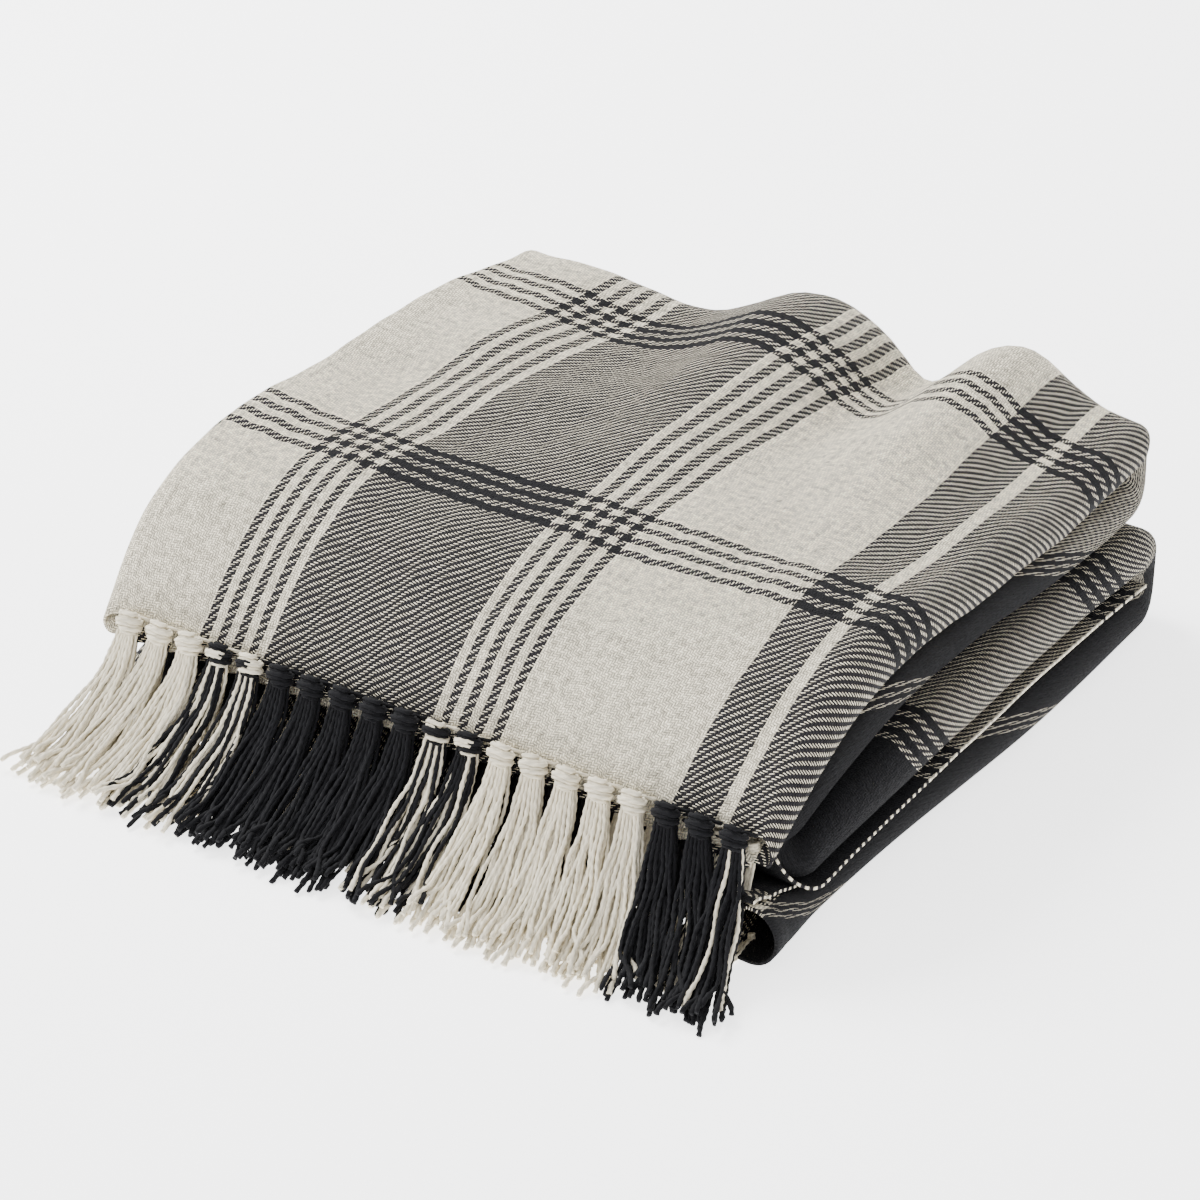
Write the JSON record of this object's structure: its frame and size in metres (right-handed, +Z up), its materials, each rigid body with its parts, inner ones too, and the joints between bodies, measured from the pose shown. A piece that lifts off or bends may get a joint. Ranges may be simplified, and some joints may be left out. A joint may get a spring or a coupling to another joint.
{
  "type": "folded throw blanket",
  "caption": "Woven cotton plaid throw, folded into a soft four-layer stack, with knotted tassels that swing along its front edge.",
  "frame": {"origin": "on the floor, under the middle of the whole throw", "axes": "+Z up, +Y from the tassels to the back folds, +X along the front edge"},
  "size_m": [0.4568, 0.5083, 0.1572],
  "materials": {
    "plaid_cloth": "matt brushed cotton twill, cream with charcoal stripes",
    "cream_cotton": "matt plied cotton yarn, cream",
    "black_cotton": "matt plied cotton yarn, black",
    "mixed_cotton": "matt plied cotton yarns, black and cream together"
  },
  "bodies": {
    "panel": {"woven_panel": "plaid_cloth", "upper_fringe_middle_ply": "mixed_cotton", "upper_fringe_inner_ply": "mixed_cotton", "lower_fringe_outer_ply": "mixed_cotton", "lower_fringe_middle_ply": "mixed_cotton", "lower_fringe_inner_ply": "mixed_cotton"},
    "tassel_01_body": {"tassel_01": "cream_cotton"},
    "tassel_02_body": {"tassel_02": "cream_cotton"},
    "tassel_03_body": {"tassel_03": "cream_cotton"},
    "tassel_04_body": {"tassel_04": "mixed_cotton"},
    "tassel_05_body": {"tassel_05": "mixed_cotton"},
    "tassel_06_body": {"tassel_06": "black_cotton"},
    "tassel_07_body": {"tassel_07": "black_cotton"},
    "tassel_08_body": {"tassel_08": "black_cotton"},
    "tassel_09_body": {"tassel_09": "black_cotton"},
    "tassel_10_body": {"tassel_10": "black_cotton"},
    "tassel_11_body": {"tassel_11": "mixed_cotton"},
    "tassel_12_body": {"tassel_12": "mixed_cotton"},
    "tassel_13_body": {"tassel_13": "cream_cotton"},
    "tassel_14_body": {"tassel_14": "cream_cotton"},
    "tassel_15_body": {"tassel_15": "cream_cotton"},
    "tassel_16_body": {"tassel_16": "cream_cotton"},
    "tassel_17_body": {"tassel_17": "cream_cotton"},
    "tassel_18_body": {"tassel_18": "black_cotton"},
    "tassel_19_body": {"tassel_19": "black_cotton"},
    "tassel_20_body": {"tassel_20": "black_cotton"}
  },
  "joints": [
    {"name": "tassel_01_swing", "type": "hinge", "parent": "panel", "child": "tassel_01_body", "pos_m": [-0.202, -0.17319, 0.068], "axis": [-1, 0, 0], "range_deg": [0, 75]},
    {"name": "tassel_02_swing", "type": "hinge", "parent": "panel", "child": "tassel_02_body", "pos_m": [-0.18074, -0.17319, 0.068], "axis": [-1, 0, 0], "range_deg": [0, 75]},
    {"name": "tassel_03_swing", "type": "hinge", "parent": "panel", "child": "tassel_03_body", "pos_m": [-0.15947, -0.17319, 0.068], "axis": [-1, 0, 0], "range_deg": [0, 75]},
    {"name": "tassel_04_swing", "type": "hinge", "parent": "panel", "child": "tassel_04_body", "pos_m": [-0.13821, -0.17319, 0.068], "axis": [-1, 0, 0], "range_deg": [0, 75]},
    {"name": "tassel_05_swing", "type": "hinge", "parent": "panel", "child": "tassel_05_body", "pos_m": [-0.11695, -0.17319, 0.068], "axis": [-1, 0, 0], "range_deg": [0, 75]},
    {"name": "tassel_06_swing", "type": "hinge", "parent": "panel", "child": "tassel_06_body", "pos_m": [-0.09568, -0.17319, 0.068], "axis": [-1, 0, 0], "range_deg": [0, 75]},
    {"name": "tassel_07_swing", "type": "hinge", "parent": "panel", "child": "tassel_07_body", "pos_m": [-0.07442, -0.17319, 0.068], "axis": [-1, 0, 0], "range_deg": [0, 75]},
    {"name": "tassel_08_swing", "type": "hinge", "parent": "panel", "child": "tassel_08_body", "pos_m": [-0.05316, -0.17319, 0.068], "axis": [-1, 0, 0], "range_deg": [0, 75]},
    {"name": "tassel_09_swing", "type": "hinge", "parent": "panel", "child": "tassel_09_body", "pos_m": [-0.03189, -0.17319, 0.068], "axis": [-1, 0, 0], "range_deg": [0, 75]},
    {"name": "tassel_10_swing", "type": "hinge", "parent": "panel", "child": "tassel_10_body", "pos_m": [-0.01063, -0.17319, 0.068], "axis": [-1, 0, 0], "range_deg": [0, 75]},
    {"name": "tassel_11_swing", "type": "hinge", "parent": "panel", "child": "tassel_11_body", "pos_m": [0.01063, -0.17319, 0.068], "axis": [-1, 0, 0], "range_deg": [0, 75]},
    {"name": "tassel_12_swing", "type": "hinge", "parent": "panel", "child": "tassel_12_body", "pos_m": [0.03189, -0.17319, 0.068], "axis": [-1, 0, 0], "range_deg": [0, 75]},
    {"name": "tassel_13_swing", "type": "hinge", "parent": "panel", "child": "tassel_13_body", "pos_m": [0.05316, -0.17319, 0.068], "axis": [-1, 0, 0], "range_deg": [0, 75]},
    {"name": "tassel_14_swing", "type": "hinge", "parent": "panel", "child": "tassel_14_body", "pos_m": [0.07442, -0.17319, 0.068], "axis": [-1, 0, 0], "range_deg": [0, 75]},
    {"name": "tassel_15_swing", "type": "hinge", "parent": "panel", "child": "tassel_15_body", "pos_m": [0.09568, -0.17319, 0.068], "axis": [-1, 0, 0], "range_deg": [0, 75]},
    {"name": "tassel_16_swing", "type": "hinge", "parent": "panel", "child": "tassel_16_body", "pos_m": [0.11695, -0.17319, 0.068], "axis": [-1, 0, 0], "range_deg": [0, 75]},
    {"name": "tassel_17_swing", "type": "hinge", "parent": "panel", "child": "tassel_17_body", "pos_m": [0.13821, -0.17319, 0.068], "axis": [-1, 0, 0], "range_deg": [0, 75]},
    {"name": "tassel_18_swing", "type": "hinge", "parent": "panel", "child": "tassel_18_body", "pos_m": [0.15947, -0.17319, 0.068], "axis": [-1, 0, 0], "range_deg": [0, 75]},
    {"name": "tassel_19_swing", "type": "hinge", "parent": "panel", "child": "tassel_19_body", "pos_m": [0.18074, -0.17319, 0.068], "axis": [-1, 0, 0], "range_deg": [0, 75]},
    {"name": "tassel_20_swing", "type": "hinge", "parent": "panel", "child": "tassel_20_body", "pos_m": [0.202, -0.17319, 0.068], "axis": [-1, 0, 0], "range_deg": [0, 75]}
  ]
}
